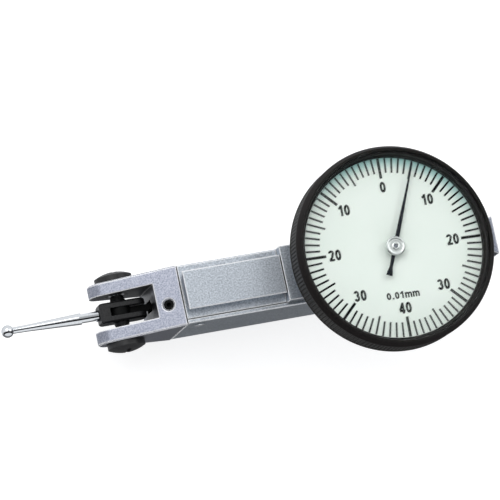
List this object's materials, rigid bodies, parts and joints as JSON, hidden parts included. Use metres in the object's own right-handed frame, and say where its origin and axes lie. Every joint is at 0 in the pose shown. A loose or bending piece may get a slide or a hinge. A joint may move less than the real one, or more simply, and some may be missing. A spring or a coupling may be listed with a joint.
{
  "type": "dial test indicator",
  "caption": "Lever-type dial test indicator: slim body with dovetail rails, forked nose with a swivelling ball stylus, knurled round bezel and geared pointer.",
  "frame": {"origin": "where the pointer's axis meets the face of the back dovetail rail", "axes": "+X from the stylus towards the rear end, +Z from the back rail towards the dial, +Y across the body away from the side cover"},
  "size_m": [0.079, 0.032, 0.0275],
  "materials": {
    "satin_chrome": "satin chrome over a bead-blasted surface",
    "blackened_steel": "chemically blackened, satin",
    "polished_steel": "ground and polished",
    "hard_ball": "lapped to a mirror",
    "brass_plate": "fine-turned",
    "spring_steel": "tempered, satin",
    "spring_bronze": "rolled strip",
    "blued_steel": "heat-blued",
    "blued_needle": "dark blue-black lacquer",
    "ruby": "polished synthetic ruby",
    "black_bezel": "black satin finish, knurled",
    "clear_crystal": "clear",
    "seal_rubber": "moulded",
    "dial_enamel": "matt white with black printing"
  },
  "bodies": {
    "frame": {"body_housing": "satin_chrome", "side_cover": "satin_chrome", "side_cover_screws": "polished_steel", "movement_plate": "brass_plate", "movement_plate_screws": "blued_steel", "fork_head": "satin_chrome", "head_set_screw": "blackened_steel", "pivot_screw_upper": "blackened_steel", "pivot_screw_lower": "blackened_steel", "pivot_bearings": "polished_steel", "rear_dovetail": "satin_chrome", "rear_dovetail_screws": "blackened_steel", "dial_case": "satin_chrome", "dial_case_screws": "polished_steel", "bezel_spring_ring": "spring_steel", "pointer_cock": "brass_plate", "pointer_cock_screw": "blued_steel", "jewel_bearings": "ruby", "hairspring_stud": "brass_plate"},
    "measuring_lever": {"measuring_lever": "blackened_steel", "lever_axle": "polished_steel", "lever_drive_pin": "polished_steel", "clutch_washers": "blackened_steel"},
    "stylus": {"stylus_holder": "blackened_steel", "stylus_shank": "polished_steel", "stylus_ball": "hard_ball"},
    "sector": {"sector_lever": "brass_plate", "sector_shaft": "polished_steel"},
    "crown": {"crown_gear": "brass_plate", "crown_arbor": "polished_steel"},
    "pointer_spindle": {"pointer_arbor": "polished_steel", "hairspring_collet": "brass_plate", "hairspring": "spring_bronze", "pointer": "blued_needle", "pointer_hub": "polished_steel"},
    "bezel_group": {"bezel": "black_bezel", "crystal": "clear_crystal", "crystal_seal": "seal_rubber", "dial_face": "dial_enamel"}
  },
  "joints": [
    {"name": "pointer_spin", "type": "hinge", "parent": "frame", "child": "pointer_spindle", "pos_m": [0, 0, 0.018], "axis": [0, 0, 1], "range_deg": [-200, 200], "stiffness_Nm_per_rad": 0.000012},
    {"name": "crown_spin", "type": "hinge", "parent": "frame", "child": "crown", "pos_m": [0, 0, 0.009], "axis": [0, 1, 0], "range_deg": [-66.7, 66.7]},
    {"name": "sector_swing", "type": "hinge", "parent": "frame", "child": "sector", "pos_m": [-0.0225, 0, 0.009], "axis": [0, 1, 0], "range_deg": [-3.11, 3.11]},
    {"name": "lever_pivot", "type": "hinge", "parent": "frame", "child": "measuring_lever", "pos_m": [-0.04145, 0, 0.009], "axis": [0, 1, 0], "range_deg": [-1.4, 1.4]},
    {"name": "stylus_swivel", "type": "hinge", "parent": "measuring_lever", "child": "stylus", "pos_m": [-0.04145, 0, 0.009], "axis": [0, 1, 0], "range_deg": [-105, 105]},
    {"name": "bezel_turn", "type": "hinge", "parent": "frame", "child": "bezel_group", "pos_m": [0, 0, 0.022], "axis": [0, 0, 1], "continuous": true}
  ],
  "couplings": [
    {"joint": "crown_spin", "follows": "pointer_spin", "ratio": 0.33333},
    {"joint": "sector_swing", "follows": "pointer_spin", "ratio": -0.015504},
    {"joint": "lever_pivot", "follows": "pointer_spin", "ratio": 0.0069958}
  ]
}
